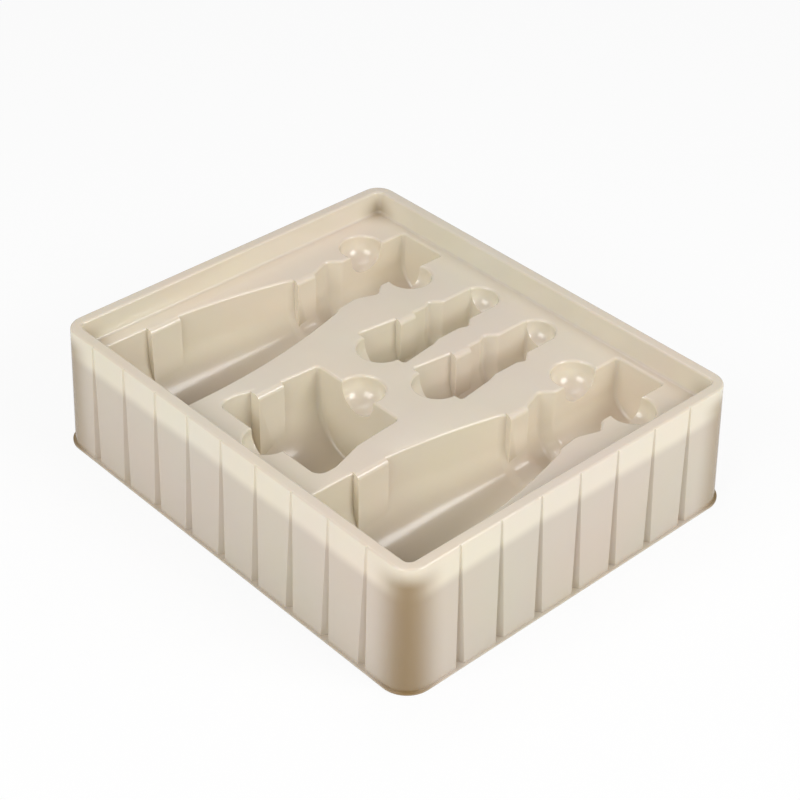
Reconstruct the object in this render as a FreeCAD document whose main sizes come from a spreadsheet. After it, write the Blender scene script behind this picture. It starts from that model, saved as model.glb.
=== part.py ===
import FreeCAD, Part
import math
import os
import Sketcher
from types import SimpleNamespace

# Vacuum-formed insert tray of a cosmetics gift box: one thin plastic sheet drawn over a mould.
# X runs along the bottles, from base to cap. Y runs across them. Z is up.
# The origin is on the surface that the tray stands on, under the middle of the tray.

doc = FreeCAD.newDocument("gift_box_tray")

# ---------------------------------------------------------------- driving sizes, in millimetres
SIZES = {
    "gauge": 0.8,              # thickness of the formed sheet
    "width": 210.0,            # along X, at the rim
    "length": 250.0,           # along Y, at the rim
    "height": 69.0,            # from the foot to the rim
    "skirt_flare": 2.8,        # how far the skirt leans out from rim to foot
    "foot_corner": 13.0,       # plan radius of the skirt's corners at the foot
    "flange": 1.2,             # trimmed flange left around the foot
    "rim_width": 6.0,
    "rim_round": 1.3,          # rounding along both edges of the rim
    "recess_depth": 12.5,      # from the rim down to the deck
    "recess_lean": 0.9,        # draft of the recess wall, as an inset at the deck
    "recess_corner": 3.6,
    "deck_round": 1.6,         # inside rounding where the recess wall meets the deck
    "lip": 1.4,                # rounding of each cavity's edge
    "flute_pitch": 24.8,
    "flute_depth": 4.0,        # sharp depth at the foot; the flute fades towards the rim
    "flute_nose": 0.7,         # radius at the bottom of the flute
    "axis_depth": 17.5,        # from the deck down to the axis that every article lies on
    "end_margin": 4.6,         # deck left beyond the ends of a bottle cavity
    "side_margin": 7.6,        # deck left beside a bottle cavity
    "bottle_radius": 32.5,
    "base_corner": 5.0,        # corner at the base of a bottle and a jar lid
    "bottle_shoulder": 59.0,   # base to the middle of the body's long curve
    "bottle_curve": 357.0,     # radius of that curve
    "bottle_body": 109.0,      # base to the end of the body
    "body_end_radius": 19.3,
    "step_length": 4.0,        # short step between the body and the neck
    "step_radius": 17.2,
    "neck_length": 11.5,
    "neck_radius": 15.8,
    "collar_rise": 12.0,
    "collar_radius": 20.3,
    "collar_fall": 6.5,
    "cap_radius": 15.0,
    "bottle_scoop": 11.5,      # radius of the finger scoops beside the cap
    "scoop_setback": 26.8,     # from the cap's end back to those scoops
    "jar_start": 26.8,         # from the rim's outer edge to the jar's lid
    "jar_length": 56.1,
    "lid_radius": 36.5,
    "lid_length": 10.2,
    "jar_taper": 18.0,
    "jar_shoulder_radius": 31.0,
    "jar_base_radius": 29.0,
    "jar_scoop": 11.5,
    "vial_web": 6.4,           # deck left between the two vials
    "vial_end": 15.1,          # deck beyond the vials, up to the recess wall
    "vial_length": 71.6,
    "vial_radius": 17.0,
    "vial_body": 22.1,
    "vial_body_end_radius": 14.2,
    "vial_step": 4.5,
    "vial_neck": 15.0,
    "vial_neck_radius": 12.5,
    "vial_collar": 4.5,
    "vial_collar_radius": 14.4,
    "vial_fall": 5.5,
    "vial_cap_radius": 9.8,
    "vial_base_scoop": 12.3,
    "vial_cap_scoop": 9.5,
    "bottle_round": 6.0,        # corners of the beds' outlines, seen from above
    "neck_round": 12.0,
    "collar_round": 3.5,
    "cap_foot_round": 4.0,
    "cap_end_round": 2.0,
    "jar_lid_round": 10.0,
    "jar_taper_round": 15.0,
    "jar_base_round": 2.5,
    "vial_end_round": 1.5,
    "vial_step_round": 4.0,
    "vial_collar_round": 2.5,
    "vial_cap_round": 3.0,
    "bottle_scoop_gap": 4.0,    # from the wall beside a cap out to its scoops' middles
    "jar_scoop_out": 2.7,       # scoop's middle beyond the jar's base
    "vial_scoop_in": 2.7,       # scoop's middle inside the vial's cap end
    "bottle_lug_place": 37.5,   # lugs' middles along X, from the end of their own bed
    "neck_lug_place": 118.2,
    "jar_lug_place": 25.7,
    "vial_lug_place": 43.6,
    "bottle_lug_reach": 3.0,    # how far each lug stands in from its wall
    "neck_lug_reach": 2.2,
    "jar_lug_reach": 4.0,
    "vial_lug_reach": 2.4,
    "bottle_lug_run": 18.5,     # each lug's length along its wall
    "neck_lug_run": 12.0,
    "jar_lug_run": 15.7,
    "vial_lug_run": 10.5,
    "bottle_wall_in": 1.0,      # a curved wall's place at its lug, against the bed's radius
    "neck_wall_out": 0.8,
    "jar_wall_out": 0.8,
    "scoop_drop": 2.0,         # the scoops' ball centres lie this far below the deck
    "lug_round": 3.0,          # rounded shoulder on top of each retaining lug
}
FLUTES_ALONG_X = 7
FLUTES_ALONG_Y = 9
FLUTE_HALF_ANGLE = math.radians(33)
SCOOP_BALL = 0.92         # share of a scoop's radius that its ball-shaped floor takes
LUG_DEPTH = 2.2           # lugs end this many times as deep as the articles' axes
ABOVE_DECK = 5            # cuts start this far above the deck, in open air
LIP_BORDER = 2.2          # the lips lie at least this far in from the deck's edge

sheet = doc.addObject("Spreadsheet::Sheet", "Sizes")
for row, (alias, number) in enumerate(SIZES.items(), start=1):
    sheet.set(f"A{row}", alias)
    sheet.set(f"B{row}", str(number))
    sheet.setAlias(f"B{row}", alias)
doc.recompute()


class Formula:
    """A length together with the sheet expression that it comes from."""

    def __init__(self, text, value):
        self.text = text
        self.value = value

    def __add__(self, other):
        other = formula(other)
        return Formula(f"({self.text} + {other.text})", self.value + other.value)

    def __sub__(self, other):
        other = formula(other)
        return Formula(f"({self.text} - {other.text})", self.value - other.value)

    def __mul__(self, other):
        other = formula(other)
        return Formula(f"({self.text} * {other.text})", self.value * other.value)

    def __truediv__(self, other):
        other = formula(other)
        return Formula(f"({self.text} / {other.text})", self.value / other.value)

    def __neg__(self):
        return formula(0) - self


def formula(item):
    return item if isinstance(item, Formula) else Formula(str(item), float(item))


def draft(lean, rise):
    """The taper angle of a wall that leans this far over its rise."""
    return Formula(f"(-atan({lean.text} / {rise.text}))", 0)


S = SimpleNamespace(**{alias: Formula("Sizes." + alias, number) for alias, number in SIZES.items()})

# ---------------------------------------------------------------- places that the pieces share
half_x = S.width / 2
half_y = S.length / 2
deck_z = S.height - S.recess_depth
deck_half_x = half_x - S.rim_width - S.recess_lean
deck_half_y = half_y - S.rim_width - S.recess_lean
bottle_y = deck_half_y - S.side_margin - S.bottle_radius
vial_y = S.vial_web / 2 + S.vial_radius


# ---------------------------------------------------------------- sketches and features
def outline(body, name, role, place, corners):
    """Closed outline of straight sides; each corner is (across, up, rounding)."""
    sketch = body.newObject("Sketcher::SketchObject", name)
    plane = next(item for item in body.Origin.OriginFeatures if item.Role == role)
    sketch.AttachmentSupport = [(plane, "")]
    sketch.MapMode = "FlatFace"
    for axis, distance in zip("xyz", place):
        sketch.setExpression(f"AttachmentOffset.Base.{axis}", formula(distance).text)
    corners = [tuple(formula(item) for item in corner) for corner in corners]
    points = [FreeCAD.Vector(across.value, up.value, 0) for across, up, rounding in corners]
    following = points[1:] + points[:1]
    sides = [sketch.addGeometry(Part.LineSegment(start, end), False)
             for start, end in zip(points, following)]
    for index, side in enumerate(sides):
        sketch.addConstraint(Sketcher.Constraint("Coincident", sides[index - 1], 2, side, 1))
    for side, (across, up, rounding) in zip(sides, corners):
        for kind, distance in (("DistanceX", across), ("DistanceY", up)):
            rule = Sketcher.Constraint(kind, -1, 1, side, 1, distance.value)
            sketch.setExpression(f"Constraints[{sketch.addConstraint(rule)}]", distance.text)
    for index, (across, up, rounding) in enumerate(corners):
        if rounding.value == 0:
            continue
        sketch.fillet(sides[index - 1], sides[index], points[index - 1], following[index],
                      rounding.value, True, True)
        arc = sketch.GeometryCount - 2
        rule = Sketcher.Constraint("Radius", arc, rounding.value)
        sketch.setExpression(f"Constraints[{sketch.addConstraint(rule)}]", rounding.text)
    return sketch


def rectangle(reach_x, reach_y, rounding):
    return [(-reach_x, -reach_y, rounding), (reach_x, -reach_y, rounding),
            (reach_x, reach_y, rounding), (-reach_x, reach_y, rounding)]


def feature(body, kind, name, sketch, **settings):
    item = body.newObject("PartDesign::" + kind, name)
    item.Profile = sketch
    item.Refine = False
    for key, setting in settings.items():
        if isinstance(setting, Formula):
            item.setExpression(key, setting.text)
        else:
            setattr(item, key, setting)
    return item


def copies(body, name, originals, role, pitch, count):
    """Copies of some features along one of the body's axes."""
    pattern = body.newObject("PartDesign::LinearPattern", name)
    axis = next(item for item in body.Origin.OriginFeatures if item.Role == role)
    pattern.Originals = originals
    pattern.Direction = (axis, [""])
    pattern.setExpression("Length", (pitch * (count - 1)).text)
    pattern.Occurrences = count
    body.Tip = pattern
    return pattern


def round_edges(body, name, radius, height, reach_x, reach_y):
    """Fillet the edges that lie flat at one height, no further out than the reach."""
    doc.recompute()
    last = body.Tip
    edges = []
    for number, edge in enumerate(last.Shape.Edges, start=1):
        box = edge.BoundBox
        flat = abs(box.ZMin - height.value) < 0.01 and abs(box.ZMax - height.value) < 0.01
        if flat and max(-box.XMin, box.XMax) < reach_x.value \
                and max(-box.YMin, box.YMax) < reach_y.value:
            edges.append(f"Edge{number}")
    fillet = body.newObject("PartDesign::Fillet", name)
    fillet.Base = (last, edges)
    fillet.setExpression("Radius", radius.text)


# ---------------------------------------------------------------- features of the moulded form
# Each takes skin, the depth of the surface being made below the tray's upper face:
# nothing for the face itself, and the sheet's thickness for its underside.
def skirt(body, skin):
    """The drafted block of the skirt."""
    foot = outline(body, "foot_outline", "XY_Plane", (0, 0, 0),
                   rectangle(half_x + S.skirt_flare - skin, half_y + S.skirt_flare - skin,
                             S.foot_corner - skin))
    feature(body, "Pad", "skirt", foot, Length=S.height - skin,
            TaperAngle=draft(S.skirt_flare, S.height))
    round_edges(body, "rim_outer_edge", S.rim_round - skin, S.height - skin,
                half_x + 1, half_y + 1)


def flutes(body, skin):
    """Upright V flutes. They are vertical and the skirt leans, so they fade towards the rim."""
    deeper = skin / math.sin(FLUTE_HALF_ANGLE)
    for side, reach, run, count in (("x", half_y, "X_Axis", FLUTES_ALONG_X),
                                    ("y", half_x, "Y_Axis", FLUTES_ALONG_Y)):
        first = S.flute_pitch * (-(count - 1) / 2)
        tip = reach + S.skirt_flare - S.flute_depth - deeper
        mouth = reach + S.skirt_flare + S.flange + 1
        spread = (mouth - tip) * math.tan(FLUTE_HALF_ANGLE)
        for end, sign in (("low", -1), ("high", 1)):
            vee = [(first, tip * sign, S.flute_nose + skin),
                   (first - spread, mouth * sign, 0), (first + spread, mouth * sign, 0)]
            if side == "y":
                vee = [(up, across, nose) for across, up, nose in vee]
            sketch = outline(body, f"flute_{side}_{end}", "XY_Plane", (0, 0, 0), vee)
            cut = feature(body, "Pocket", f"flute_cut_{side}_{end}", sketch,
                          Type="ThroughAll", Reversed=True)
            copies(body, f"flutes_{side}_{end}", [cut], run, S.flute_pitch, count)


def flange(body):
    """The narrow flange left around the foot where the sheet was trimmed."""
    reach = S.skirt_flare + S.flange
    edge = outline(body, "trim_outline", "XY_Plane", (0, 0, 0),
                   rectangle(half_x + reach, half_y + reach, S.foot_corner + S.flange))
    feature(body, "Pad", "flange", edge, Length=S.gauge)


def recess(body, skin):
    """The shallow recess inside the rim, down to the deck."""
    reach_x = half_x - S.rim_width + skin
    reach_y = half_y - S.rim_width + skin
    mouth = outline(body, "recess_outline", "XY_Plane", (0, 0, S.height - skin),
                    rectangle(reach_x, reach_y, S.recess_corner + skin))
    feature(body, "Pocket", "recess", mouth, Length=S.recess_depth,
            TaperAngle=draft(S.recess_lean, S.recess_depth))
    round_edges(body, "rim_inner_edge", S.rim_round - skin, S.height - skin,
                reach_x + 0.1, reach_y + 0.1)
    round_edges(body, "deck_border", S.deck_round + skin, deck_z - skin,
                reach_x, reach_y)


def cavity(body, name, y, skin, profile):
    """An article's bed: upright walls down to its axis, and a half-round floor below it.

    The profile lists (x, radius, corner rounding) from one end of the article to the other."""
    level = (0, y, deck_z - S.axis_depth)
    side = [(x, radius + skin, corner) for x, radius, corner in profile]
    side[0] = (side[0][0] - skin, side[0][1], skin + side[0][2])
    side[-1] = (side[-1][0] + skin, side[-1][1], skin + side[-1][2])
    other_side = [(x, -radius, corner) for x, radius, corner in reversed(side)]
    plan = outline(body, name + "_plan", "XY_Plane", level, side + other_side)
    walls = feature(body, "Pocket", name + "_walls", plan, Type="ThroughAll", Reversed=True)
    half = outline(body, name + "_half", "XY_Plane", level,
                   [(side[0][0], 0, 0)] + side + [(side[-1][0], 0, 0)])
    floor = feature(body, "Groove", name + "_floor", half, ReferenceAxis=(half, ["H_Axis"]))
    return [walls, floor]


def scoop(body, name, x, y, radius, skin):
    """A round pocket with a ball-shaped floor, where a finger gets under the article."""
    bottom = -(S.scoop_drop + radius + skin)
    half = outline(body, name + "_half", "XZ_Plane", (x, deck_z, -y),
                   [(0, bottom, 0), (radius + skin, bottom, (radius + skin) * SCOOP_BALL),
                    (radius + skin, ABOVE_DECK, 0), (0, ABOVE_DECK, 0)])
    return feature(body, "Groove", name, half, ReferenceAxis=(half, ["V_Axis"]))


def lug(body, name, x, wall, reach, run, skin):
    """A rounded lug on a cavity's wall, which holds the article in.

    wall is the wall's place in Y, reach how far the lug stands in from it, run its length."""
    face = wall - reach + skin
    back = wall + S.lip + 1
    top = deck_z - skin
    bottom = deck_z - S.axis_depth * LUG_DEPTH
    side = outline(body, name + "_side", "YZ_Plane", (0, 0, x),
                   [(face, top, S.lug_round - skin), (face, bottom, 0),
                    (back, bottom, 0), (back, top, 0)])
    return feature(body, "Pad", name, side, SideType="Symmetric", Length=run - skin * 2)


# ---------------------------------------------------------------- the articles that the tray holds
def bottle_beds(body, skin):
    """Two long bottles, bases towards -X, each with a finger scoop on both sides of its cap."""
    base = -(deck_half_x - S.end_margin)
    body_end = base + S.bottle_body
    neck = body_end + S.step_length
    collar = neck + S.neck_length + S.collar_rise
    profile = [(base, S.bottle_radius, S.base_corner),
               (base + S.bottle_shoulder, S.bottle_radius, S.bottle_curve),
               (body_end, S.body_end_radius, S.bottle_round),
               (neck, S.step_radius, S.bottle_round),
               (neck + S.neck_length, S.neck_radius, S.neck_round),
               (collar, S.collar_radius, S.collar_round),
               (collar + S.collar_fall, S.cap_radius, S.cap_foot_round),
               (-base, S.cap_radius, S.cap_end_round)]
    cuts = cavity(body, "bottle", -bottle_y, skin, profile)
    for side, sign in (("low", -1), ("high", 1)):
        cuts.append(scoop(body, "bottle_scoop_" + side, -base - S.scoop_setback,
                          -bottle_y + (S.cap_radius + S.bottle_scoop_gap) * sign,
                          S.bottle_scoop, skin))
    copies(body, "bottle_beds", cuts, "Y_Axis", bottle_y * 2, 2)


def jar_bed(body, skin):
    """One jar lying on its side, lid towards -X, with a finger scoop at each end."""
    lid = S.jar_start - half_x
    base = lid + S.jar_length
    profile = [(lid, S.lid_radius, S.base_corner),
               (lid + S.lid_length, S.lid_radius, S.jar_lid_round),
               (lid + S.lid_length + S.jar_taper, S.jar_shoulder_radius, S.jar_taper_round),
               (base, S.jar_base_radius, S.jar_base_round)]
    cavity(body, "jar", formula(0), skin, profile)
    scoop(body, "jar_scoop_lid", lid, formula(0), S.jar_scoop, skin)
    scoop(body, "jar_scoop_base", base + S.jar_scoop_out, formula(0), S.jar_scoop, skin)


def vial_beds(body, skin):
    """Two small vials side by side, with a finger scoop at each end."""
    cap_end = deck_half_x - S.vial_end
    base = cap_end - S.vial_length
    body_end = base + S.vial_body
    neck = body_end + S.vial_step
    collar = neck + S.vial_neck + S.vial_collar
    profile = [(base, S.vial_radius, S.vial_end_round),
               (body_end, S.vial_body_end_radius, S.vial_step_round),
               (neck, S.vial_neck_radius, S.vial_step_round),
               (neck + S.vial_neck, S.vial_neck_radius, S.vial_step_round),
               (collar, S.vial_collar_radius, S.vial_collar_round),
               (collar + S.vial_fall, S.vial_cap_radius, S.vial_cap_round),
               (cap_end, S.vial_cap_radius, S.vial_end_round)]
    cuts = cavity(body, "vial", -vial_y, skin, profile)
    cuts.append(scoop(body, "vial_scoop_base", base, -vial_y, S.vial_base_scoop, skin))
    cuts.append(scoop(body, "vial_scoop_cap", cap_end - S.vial_scoop_in, -vial_y,
                      S.vial_cap_scoop, skin))
    copies(body, "vial_beds", cuts, "Y_Axis", vial_y * 2, 2)


def lugs(body, skin):
    """Retaining lugs, all on the +Y walls of the beds."""
    bottle_base = -(deck_half_x - S.end_margin)
    jar_lid = S.jar_start - half_x
    vial_cap_end = deck_half_x - S.vial_end
    bottle_wall = -bottle_y + S.bottle_radius - S.bottle_wall_in
    neck_wall = -bottle_y + S.neck_radius + S.neck_wall_out
    bottle_lugs = [lug(body, "bottle_lug", bottle_base + S.bottle_lug_place, bottle_wall,
                       S.bottle_lug_reach, S.bottle_lug_run, skin),
                   lug(body, "neck_lug", bottle_base + S.neck_lug_place, neck_wall,
                       S.neck_lug_reach, S.neck_lug_run, skin)]
    copies(body, "bottle_lugs", bottle_lugs, "Y_Axis", bottle_y * 2, 2)
    lug(body, "jar_lug", jar_lid + S.jar_lug_place, S.jar_shoulder_radius + S.jar_wall_out,
        S.jar_lug_reach, S.jar_lug_run, skin)
    vial_lug = lug(body, "vial_lug", vial_cap_end - S.vial_lug_place,
                   -vial_y + S.vial_neck_radius, S.vial_lug_reach, S.vial_lug_run, skin)
    copies(body, "vial_lugs", [vial_lug], "Y_Axis", vial_y * 2, 2)


def formed_surface(name, skin):
    """Everything under one face of the sheet, as a solid."""
    body = doc.addObject("PartDesign::Body", name)
    skirt(body, skin)
    flutes(body, skin)
    if skin.value == 0:
        flange(body)
    recess(body, skin)
    bottle_beds(body, skin)
    jar_bed(body, skin)
    vial_beds(body, skin)
    round_edges(body, "cavity_lips", S.lip - skin, deck_z - skin, deck_half_x - LIP_BORDER,
                deck_half_y - LIP_BORDER)
    lugs(body, skin)
    return body


# ---------------------------------------------------------------- the sheet between its two faces
upper = formed_surface("upper_face", formula(0))
under = formed_surface("underside", S.gauge)
tray = doc.addObject("Part::Cut", "tray")
tray.Base = upper
tray.Tool = under
tray.Label = "tray"
doc.recompute()

for item in doc.Objects:
    if "Invalid" in item.State or "Error" in item.State:
        raise RuntimeError(f"{item.Name} failed: {item.State}")
for body in (upper, under):
    volume = 0
    for item in body.Group:
        if item.isDerivedFrom("PartDesign::Feature"):
            if abs(item.Shape.Volume - volume) < 1:
                raise RuntimeError(f"{item.Name} changed nothing")
            volume = item.Shape.Volume
if tray.Shape.isNull() or not tray.Shape.isValid():
    raise RuntimeError("the tray's shape isn't valid")

os.makedirs("parts", exist_ok=True)
tray.Shape.exportStep(f"parts/{tray.Label}.step")
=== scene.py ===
"""Looks of a thermoformed gift-set tray: one cream pearl plastic sheet on a white floor."""

import math

import bmesh
import bpy
from mathutils import Matrix, Vector


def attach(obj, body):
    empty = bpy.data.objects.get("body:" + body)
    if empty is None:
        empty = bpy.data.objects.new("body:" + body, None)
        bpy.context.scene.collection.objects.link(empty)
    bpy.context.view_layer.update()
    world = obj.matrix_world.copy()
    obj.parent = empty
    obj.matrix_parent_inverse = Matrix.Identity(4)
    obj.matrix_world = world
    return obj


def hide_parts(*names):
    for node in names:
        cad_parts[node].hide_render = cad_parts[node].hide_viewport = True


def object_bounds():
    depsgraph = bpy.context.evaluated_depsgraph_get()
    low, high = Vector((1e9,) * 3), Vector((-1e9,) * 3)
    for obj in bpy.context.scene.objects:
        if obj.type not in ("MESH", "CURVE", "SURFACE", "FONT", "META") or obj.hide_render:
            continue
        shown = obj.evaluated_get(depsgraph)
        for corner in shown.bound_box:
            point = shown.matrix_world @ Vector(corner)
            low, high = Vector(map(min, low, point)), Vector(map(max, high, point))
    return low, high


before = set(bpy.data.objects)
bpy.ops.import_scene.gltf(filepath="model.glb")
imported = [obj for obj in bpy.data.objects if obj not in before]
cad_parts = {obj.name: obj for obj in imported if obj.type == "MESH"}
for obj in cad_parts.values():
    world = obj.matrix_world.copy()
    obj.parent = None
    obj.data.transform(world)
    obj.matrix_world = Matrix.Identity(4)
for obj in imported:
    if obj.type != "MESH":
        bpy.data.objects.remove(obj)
cad_box = [list(corner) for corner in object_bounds()]

# Formed sheet: one 0.8 mm sheet of cream pearl plastic, drawn down over a mould and trimmed
# at the foot. It carries the beds, the lugs on their walls, the rim and the fluted skirt. Its
# solid comes whole from the mould's sizes, so it is welded here and shaded as one skin.
SHARPEST_SMOOTH_EDGE = math.radians(34)
WELD_DISTANCE = 0.000002

formed_sheet = bpy.data.objects.new("formed_sheet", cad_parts["tray"].data.copy())
bpy.context.scene.collection.objects.link(formed_sheet)
skin = bmesh.new()
skin.from_mesh(formed_sheet.data)
bmesh.ops.remove_doubles(skin, verts=skin.verts, dist=WELD_DISTANCE)
for facet in skin.faces:
    facet.smooth = True
skin.to_mesh(formed_sheet.data)
skin.free()
if "custom_normal" in formed_sheet.data.attributes:
    formed_sheet.data.attributes.remove(formed_sheet.data.attributes["custom_normal"])
formed_sheet.data.set_sharp_from_angle(angle=SHARPEST_SMOOTH_EDGE)

# Cream pearl finish: semi-gloss on the mould side. Flat tops are rosy beige, and steep faces
# a yellower cream that is painted bounce light; painted shade browns the corners of the skirt
# and the bottoms of the beds. A faint orange peel and slow waves come from the forming.
ROSY_BEIGE = (0.74, 0.645, 0.53, 1)
WALL_BOUNCE_CREAM = (0.82, 0.74, 0.60, 1)
SHADE_TAN = (0.29, 0.195, 0.085, 1)
LOW_SKIRT = (0.63, 0.55, 0.45, 1)
DECK_HEIGHT = 0.0565

cream_pearl = bpy.data.materials.new("cream_pearl_plastic")
cream_pearl.use_nodes = True
pearl_nodes = cream_pearl.node_tree.nodes
pearl_links = cream_pearl.node_tree.links
pearl_nodes.clear()


def put(nodes, links, kind, settings=(), **sockets):
    """Adds a node. A socket is named by its words, or by _ and its number, and is given
    either another node's output, which is linked, or a plain value."""
    node = nodes.new(kind)
    for name, value in dict(settings).items():
        setattr(node, name, value)
    for name, value in sockets.items():
        key = int(name[1:]) if name[1:].isdigit() else name.replace("_", " ")
        socket = node.inputs[key]
        if isinstance(value, bpy.types.NodeSocket):
            links.new(value, socket)
        else:
            socket.default_value = value
    return node


def pearl(kind, settings=(), **sockets):
    """A node of the cream pearl finish."""
    return put(pearl_nodes, pearl_links, kind, settings, **sockets)


def calculate(operation, first, second=0.0):
    """The result of a sum, product, difference or the like of one or two numbers."""
    return pearl("ShaderNodeMath", {"operation": operation}, _0=first, _1=second).outputs[0]


def fade(value, start, end):
    """0 where value is at start and 1 where it is at end, eased between."""
    node = pearl("ShaderNodeMapRange", {"interpolation_type": "SMOOTHSTEP"}, Value=value)
    node.inputs["From Min"].default_value = start
    node.inputs["From Max"].default_value = end
    return node.outputs["Result"]


def blend_colours(share, first, second):
    """The first colour where share is 0 and the second where it is 1."""
    node = pearl("ShaderNodeMix", {"data_type": "RGBA"})
    pearl_links.new(share, node.inputs[0])
    for socket, colour in ((node.inputs[6], first), (node.inputs[7], second)):
        if isinstance(colour, bpy.types.NodeSocket):
            pearl_links.new(colour, socket)
        else:
            socket.default_value = colour
    return node.outputs[2]


# Places on the sheet that the tints follow, and the scale of the slow cloud in its colour.
CLOUD_SCALE = 14.0
CLOUD_DETAIL = 3.0
CLOUD_SHARE = 0.10

place = pearl("ShaderNodeTexCoord")
apart = pearl("ShaderNodeSeparateXYZ", Vector=place.outputs["Object"])
facing = pearl("ShaderNodeSeparateXYZ", Vector=place.outputs["Normal"])
from_middle_x = calculate("ABSOLUTE", apart.outputs["X"])
from_middle_y = calculate("ABSOLUTE", apart.outputs["Y"])
steepness = calculate("SUBTRACT", 1.0, calculate("ABSOLUTE", facing.outputs["Z"]))
slow_cloud = pearl(
    "ShaderNodeTexNoise",
    Vector=place.outputs["Object"],
    Scale=CLOUD_SCALE,
    Detail=CLOUD_DETAIL,
)

# The skirt is the band outside the beds; its upper part, down to the deck, is the yellower.
SKIRT_START_X = 0.0965
SKIRT_START_Y = 0.1165
SKIRT_FADE = 0.003
BAND_WAVE = 0.006
BAND_TOP = DECK_HEIGHT + 0.004
BAND_FOOT = DECK_HEIGHT - 0.003
FLAT_STEEPNESS = 0.15
WALL_STEEPNESS = 0.75

skirt_x = fade(from_middle_x, SKIRT_START_X, SKIRT_START_X + SKIRT_FADE)
skirt_y = fade(from_middle_y, SKIRT_START_Y, SKIRT_START_Y + SKIRT_FADE)
on_skirt = calculate("MAXIMUM", skirt_x, skirt_y)
height_wave = calculate("MULTIPLY", slow_cloud.outputs[0], BAND_WAVE)
wavy_height = calculate("ADD", apart.outputs["Z"], height_wave)
below_band = fade(wavy_height, BAND_TOP, BAND_FOOT)
low_skirt = calculate("MULTIPLY", on_skirt, below_band)
# Painted bounce light: steep faces blend from the rosy beige to the yellower cream.
wall_bounce_share = fade(steepness, FLAT_STEEPNESS, WALL_STEEPNESS)
top_or_wall = blend_colours(wall_bounce_share, ROSY_BEIGE, WALL_BOUNCE_CREAM)
with_skirt = blend_colours(low_skirt, top_or_wall, LOW_SKIRT)

# Painted shade: the four upright corners of the skirt and the bottoms of the beds are
# darkened towards tan.
CORNER_START_X = 0.082
CORNER_START_Y = 0.102
CORNER_FADE = 0.022
CORNER_TOP = 0.069
CORNER_FULL_HEIGHT = 0.058
CORNER_TINT = 0.97
BED_TINT_START = 0.036
BED_TINT_FULL_HEIGHT = 0.002
BED_TINT = 0.3

corner_x = fade(from_middle_x, CORNER_START_X, CORNER_START_X + CORNER_FADE)
corner_y = fade(from_middle_y, CORNER_START_Y, CORNER_START_Y + CORNER_FADE)
corner_low = fade(apart.outputs["Z"], CORNER_TOP, CORNER_FULL_HEIGHT)
corner = calculate("MULTIPLY", calculate("MULTIPLY", corner_x, corner_y), corner_low)
in_beds = calculate("SUBTRACT", 1.0, on_skirt)
bed_depth = fade(apart.outputs["Z"], BED_TINT_START, BED_TINT_FULL_HEIGHT)
deep = calculate("MULTIPLY", bed_depth, in_beds)
corner_shade = calculate("MULTIPLY", corner, CORNER_TINT)
bed_shade = calculate("MULTIPLY", deep, BED_TINT)
painted_shade = calculate("MAXIMUM", corner_shade, bed_shade)
with_shade = blend_colours(painted_shade, with_skirt, SHADE_TAN)
clouded = pearl("ShaderNodeMix", {"data_type": "RGBA", "blend_type": "MULTIPLY"})
clouded.inputs[0].default_value = CLOUD_SHARE
pearl_links.new(with_shade, clouded.inputs[6])
pearl_links.new(slow_cloud.outputs[1], clouded.inputs[7])

# The orange peel is about a millimetre and a half across, and the slow waves are ten times
# as wide; the gloss changes a little with the same cloud as the colour.
PEEL_SCALE = 700.0
PEEL_DETAIL = 2.0
PEEL_HEIGHT = 0.00012
PEEL_STRENGTH = 0.12
WAVE_SCALE = 70.0
WAVE_DETAIL = 1.0
WAVE_HEIGHT = 0.0006
WAVE_STRENGTH = 0.25
GLOSSIEST_ROUGHNESS = 0.2
DULLEST_ROUGHNESS = 0.27

peel = pearl(
    "ShaderNodeTexNoise",
    Vector=place.outputs["Object"],
    Scale=PEEL_SCALE,
    Detail=PEEL_DETAIL,
)
waves = pearl(
    "ShaderNodeTexNoise",
    Vector=place.outputs["Object"],
    Scale=WAVE_SCALE,
    Detail=WAVE_DETAIL,
)
wave_bump = pearl(
    "ShaderNodeBump",
    Strength=WAVE_STRENGTH,
    Distance=WAVE_HEIGHT,
    Height=waves.outputs[0],
)
peel_bump = pearl(
    "ShaderNodeBump",
    Strength=PEEL_STRENGTH,
    Distance=PEEL_HEIGHT,
    Height=peel.outputs[0],
)
pearl_links.new(wave_bump.outputs[0], peel_bump.inputs["Normal"])
gloss_patches = pearl("ShaderNodeMapRange", Value=slow_cloud.outputs[0])
gloss_patches.inputs["To Min"].default_value = GLOSSIEST_ROUGHNESS
gloss_patches.inputs["To Max"].default_value = DULLEST_ROUGHNESS

plastic = pearl("ShaderNodeBsdfPrincipled")
pearl_links.new(clouded.outputs[2], plastic.inputs["Base Color"])
pearl_links.new(gloss_patches.outputs[0], plastic.inputs["Roughness"])
pearl_links.new(peel_bump.outputs[0], plastic.inputs["Normal"])
plastic.inputs["IOR"].default_value = 1.5
plastic.inputs["Subsurface Weight"].default_value = 0.18
plastic.inputs["Subsurface Radius"].default_value = (1.0, 0.72, 0.42)
plastic.inputs["Subsurface Scale"].default_value = 0.0015
plastic.inputs["Coat Weight"].default_value = 0.5
plastic.inputs["Coat Roughness"].default_value = 0.12
surface_end = pearl("ShaderNodeOutputMaterial")
pearl_links.new(plastic.outputs[0], surface_end.inputs["Surface"])

formed_sheet.data.materials.clear()
formed_sheet.data.materials.append(cream_pearl)
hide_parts("tray")
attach(formed_sheet, "root")

# Floor: a wide plain white ground that the tray stands on. It shows white to the camera, and
# keeps part of the soft shadow under the foot.
FLOOR_SIDE = 6.0
FLOOR_SHADOW_SHARE = 0.12
FLOOR_DROP = 0.0002
FLOOR_WHITE = (0.86, 0.86, 0.86, 1)

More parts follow.
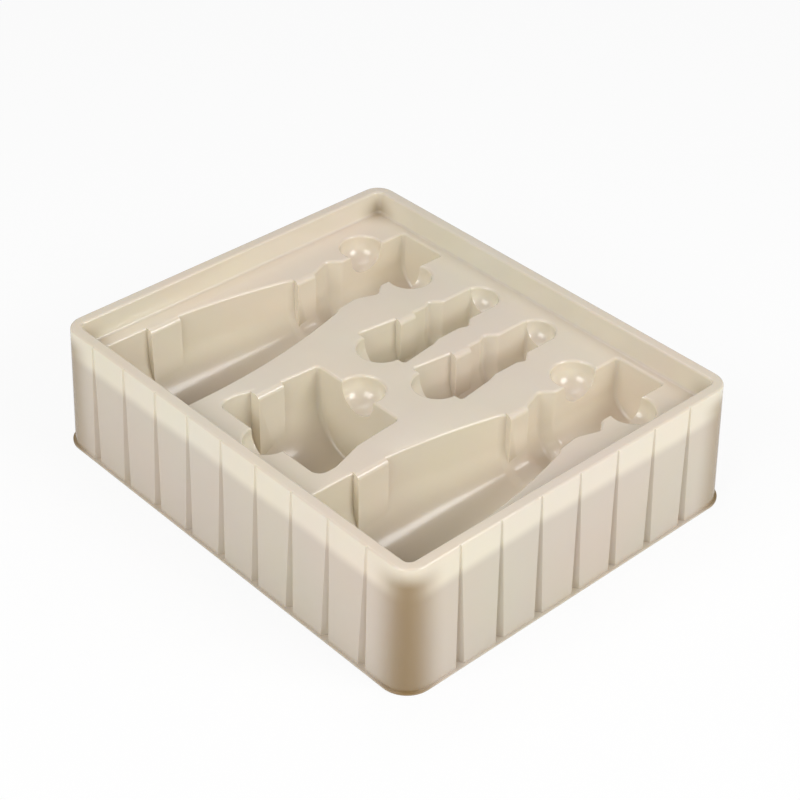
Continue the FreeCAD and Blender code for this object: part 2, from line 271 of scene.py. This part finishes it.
floor_shape = bmesh.new()
bmesh.ops.create_grid(floor_shape, x_segments=1, y_segments=1, size=FLOOR_SIDE / 2)
floor_height = cad_box[0][2] - FLOOR_DROP
bmesh.ops.translate(floor_shape, verts=floor_shape.verts, vec=(0, 0, floor_height))
floor_mesh = bpy.data.meshes.new("white_floor")
floor_shape.to_mesh(floor_mesh)
floor_shape.free()
white_floor = bpy.data.objects.new("white_floor", floor_mesh)
bpy.context.scene.collection.objects.link(white_floor)

floor_paint = bpy.data.materials.new("white_floor_paint")
floor_paint.use_nodes = True
floor_nodes = floor_paint.node_tree.nodes
floor_links = floor_paint.node_tree.links
floor_nodes.clear()
matt = put(floor_nodes, floor_links, "ShaderNodeBsdfDiffuse", Color=FLOOR_WHITE)
glow = put(floor_nodes, floor_links, "ShaderNodeEmission", Color=(1, 1, 1, 1), Strength=1.0)
rays = put(floor_nodes, floor_links, "ShaderNodeLightPath")
seen = put(
    floor_nodes,
    floor_links,
    "ShaderNodeMath",
    {"operation": "MULTIPLY"},
    _0=rays.outputs["Is Camera Ray"],
    _1=1 - FLOOR_SHADOW_SHARE,
)
floor_mix = put(
    floor_nodes,
    floor_links,
    "ShaderNodeMixShader",
    _0=seen.outputs[0],
    _1=matt.outputs[0],
    _2=glow.outputs[0],
)
put(floor_nodes, floor_links, "ShaderNodeOutputMaterial", _0=floor_mix.outputs[0])
floor_mesh.materials.append(floor_paint)

# World: a dim even white dome round the tray, like a photographer's tent. It fills the
# shadows, and shows as plain white behind the floor.
DOME_STRENGTH = 0.4

dome = bpy.data.worlds.new("white_dome")
dome.use_nodes = True
dome_nodes = dome.node_tree.nodes
dome_links = dome.node_tree.links
dome_nodes.clear()
dome_rays = put(dome_nodes, dome_links, "ShaderNodeLightPath")
dome_level = put(
    dome_nodes,
    dome_links,
    "ShaderNodeMapRange",
    Value=dome_rays.outputs["Is Camera Ray"],
    To_Min=DOME_STRENGTH,
    To_Max=1.0,
)
dome_light = put(
    dome_nodes,
    dome_links,
    "ShaderNodeBackground",
    Color=(1, 1, 1, 1),
    Strength=dome_level.outputs[0],
)
put(dome_nodes, dome_links, "ShaderNodeOutputWorld", Surface=dome_light.outputs[0])
bpy.context.scene.world = dome

# Lamps: a large soft box at the tray's left end, another in front of its long side, and a
# weak one overhead towards the back. The first two draw the bright lines along lips and lugs.
SOFT_BOXES = {
    "left_box": ((-0.95, -0.1, 0.75), (0.8, 0.5), 6.5),
    "front_box": ((0.35, -1.0, 0.75), (0.7, 0.5), 8.0),
    "top_box": ((0.15, 0.45, 1.15), (0.9, 0.4), 1.8),
}
LIT_POINT = Vector((0, 0, 0.05))

for box_name, (stand, window, power) in SOFT_BOXES.items():
    lamp = bpy.data.lights.new(box_name, "AREA")
    lamp.shape = "RECTANGLE"
    lamp.size = window[0]
    lamp.size_y = window[1]
    lamp.energy = power
    lamp_object = bpy.data.objects.new(box_name, lamp)
    lamp_object.location = stand
    aim = LIT_POINT - Vector(stand)
    lamp_object.rotation_euler = aim.to_track_quat("-Z", "Y").to_euler()
    bpy.context.scene.collection.objects.link(lamp_object)

# Camera: a long lens above the corner between the left end and the front, rolled by about
# a degree.
CAMERA_TARGET = Vector((-0.02312, -0.03102, 0.069))
CAMERA_DISTANCE = 0.92333
CAMERA_AZIMUTH = math.radians(-43.19)
CAMERA_ELEVATION = math.radians(36.17)
CAMERA_ROLL = math.radians(1.05)
LENS_LENGTH = 89.03
SENSOR_WIDTH = 36

back = Vector(
    (
        math.sin(CAMERA_AZIMUTH) * math.cos(CAMERA_ELEVATION),
        -math.cos(CAMERA_AZIMUTH) * math.cos(CAMERA_ELEVATION),
        math.sin(CAMERA_ELEVATION),
    )
)
level_right = Vector((0, 0, 1)).cross(back).normalized()
level_up = back.cross(level_right)
camera_right = math.cos(CAMERA_ROLL) * level_right + math.sin(CAMERA_ROLL) * level_up
camera_up = math.cos(CAMERA_ROLL) * level_up - math.sin(CAMERA_ROLL) * level_right
lens = bpy.data.cameras.new("long_lens")
lens.lens = LENS_LENGTH
lens.sensor_width = SENSOR_WIDTH
camera = bpy.data.objects.new("camera", lens)
turn = Matrix((camera_right, camera_up, back)).transposed().to_4x4()
camera.matrix_world = Matrix.Translation(CAMERA_TARGET + CAMERA_DISTANCE * back) @ turn
bpy.context.scene.collection.objects.link(camera)
bpy.context.scene.camera = camera
bpy.context.scene.view_settings.view_transform = "Standard"
